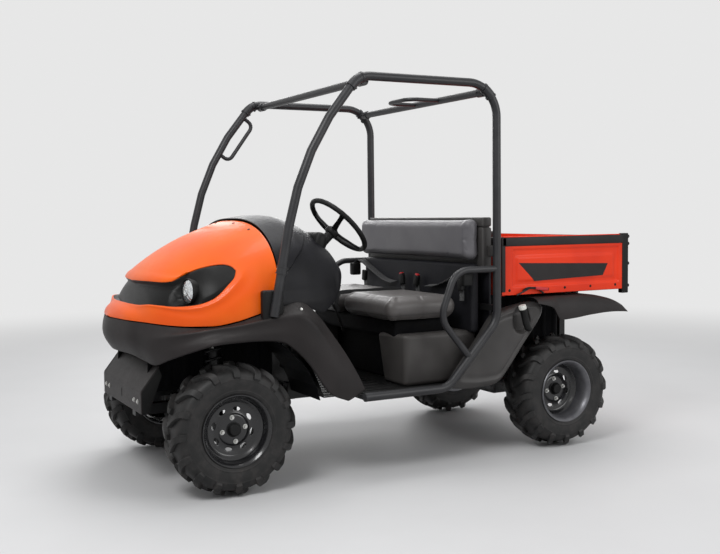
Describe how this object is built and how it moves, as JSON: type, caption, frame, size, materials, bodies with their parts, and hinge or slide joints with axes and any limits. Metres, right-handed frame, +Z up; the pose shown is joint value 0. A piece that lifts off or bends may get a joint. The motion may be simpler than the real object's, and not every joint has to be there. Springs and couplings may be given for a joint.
{
  "type": "side-by-side utility vehicle",
  "caption": "Open side-by-side utility vehicle: hinged hood, roll-over hoops, bench seat, tilting cargo bed with tailgate, steered front wheels and lugged tyres.",
  "frame": {"origin": "on the ground under the middle of the vehicle's outer box", "axes": "+Z up, -Y towards the front of the vehicle, +X towards the driver's side, which is the vehicle's left"},
  "size_m": [1.4002, 2.8, 1.9453],
  "materials": {
    "orange_plastic": "glossy orange-red",
    "bed_paint": "glossy red-orange",
    "charcoal_plastic": "textured matt",
    "black_plastic": "satin",
    "vinyl": "grained grey vinyl",
    "tube_paint": "satin",
    "frame_paint": "satin black",
    "rim_paint": "satin dark grey",
    "tyre": "matt rubber",
    "steel": "dull",
    "engine_metal": "painted casting",
    "lamp_lens": "clear lens over a bright reflector"
  },
  "bodies": {
    "chassis": {"chassis_frame": "frame_paint", "hoop_left": "tube_paint", "hoop_right": "tube_paint", "roof_cross_front": "tube_paint", "roof_cross_rear": "tube_paint", "front_body": "charcoal_plastic", "arch_liner_left": "black_plastic", "arch_liner_right": "black_plastic", "cowl": "charcoal_plastic", "steering_column": "steel", "floor_pan": "charcoal_plastic", "seat_base": "charcoal_plastic", "cushion_driver": "vinyl", "cushion_passenger": "vinyl", "seat_back": "vinyl", "back_panel": "vinyl", "quarter_left": "charcoal_plastic", "quarter_right": "charcoal_plastic", "flare_left": "charcoal_plastic", "flare_right": "charcoal_plastic", "fuel_filler": "black_plastic", "front_plate": "charcoal_plastic", "engine": "engine_metal", "muffler": "steel", "front_diff": "engine_metal", "front_shaft_left": "steel", "front_shaft_right": "steel", "rear_axle": "engine_metal", "shock_left": "steel", "shock_right": "steel", "lower_arm_left": "frame_paint", "lower_arm_right": "frame_paint"},
    "hood": {"hood": "orange_plastic", "headlamp_left": "lamp_lens", "headlamp_right": "lamp_lens"},
    "bed": {"cargo_bed": "bed_paint"},
    "gate": {"tailgate": "bed_paint"},
    "wheel_hand": {"steering_wheel": "black_plastic"},
    "rack": {"steering_rack": "steel"},
    "upright_left": {"knuckle_left": "steel"},
    "upright_right": {"knuckle_right": "steel"},
    "wheel_front_left": {"tyre_front_left": "tyre", "rim_front_left": "rim_paint"},
    "wheel_front_right": {"tyre_front_right": "tyre", "rim_front_right": "rim_paint"},
    "wheel_rear_left": {"tyre_rear_left": "tyre", "rim_rear_left": "rim_paint"},
    "wheel_rear_right": {"tyre_rear_right": "tyre", "rim_rear_right": "rim_paint"}
  },
  "joints": [
    {"name": "hood_hinge", "type": "hinge", "parent": "chassis", "child": "hood", "pos_m": [0, -0.748, 1.252], "axis": [-1, 0, 0], "range_deg": [0, 50]},
    {"name": "bed_tilt", "type": "hinge", "parent": "chassis", "child": "bed", "pos_m": [0, 1.3, 0.802], "axis": [-1, 0, 0], "range_deg": [0, 45]},
    {"name": "gate_hinge", "type": "hinge", "parent": "bed", "child": "gate", "pos_m": [0, 1.367, 0.853], "axis": [-1, 0, 0], "range_deg": [0, 90]},
    {"name": "steer_left", "type": "hinge", "parent": "chassis", "child": "upright_left", "pos_m": [0.41, -0.97, 0.215], "axis": [-0.1848, 0, 0.9828], "range_deg": [-28, 28]},
    {"name": "steer_right", "type": "hinge", "parent": "chassis", "child": "upright_right", "pos_m": [-0.41, -0.97, 0.215], "axis": [0.1848, 0, 0.9828], "range_deg": [-28, 28]},
    {"name": "hand_wheel_turn", "type": "hinge", "parent": "chassis", "child": "wheel_hand", "pos_m": [0.312, -0.282, 1.221], "axis": [0, 0.7254, 0.6884], "range_deg": [-590, 590]},
    {"name": "rack_slide", "type": "slide", "parent": "chassis", "child": "rack", "axis": [1, 0, 0], "range_m": [-0.05, 0.05]},
    {"name": "spin_front_left", "type": "hinge", "parent": "upright_left", "child": "wheel_front_left", "pos_m": [0.54, -0.97, 0.305], "axis": [1, 0, 0], "continuous": true},
    {"name": "spin_front_right", "type": "hinge", "parent": "upright_right", "child": "wheel_front_right", "pos_m": [-0.54, -0.97, 0.305], "axis": [1, 0, 0], "continuous": true},
    {"name": "spin_rear_left", "type": "hinge", "parent": "chassis", "child": "wheel_rear_left", "pos_m": [0.54, 0.93, 0.305], "axis": [1, 0, 0], "continuous": true},
    {"name": "spin_rear_right", "type": "hinge", "parent": "chassis", "child": "wheel_rear_right", "pos_m": [-0.54, 0.93, 0.305], "axis": [1, 0, 0], "continuous": true}
  ],
  "couplings": [
    {"joint": "steer_right", "follows": "steer_left", "ratio": 1},
    {"joint": "hand_wheel_turn", "follows": "steer_left", "ratio": 21},
    {"joint": "rack_slide", "follows": "steer_left", "m_per_rad": -0.1}
  ]
}
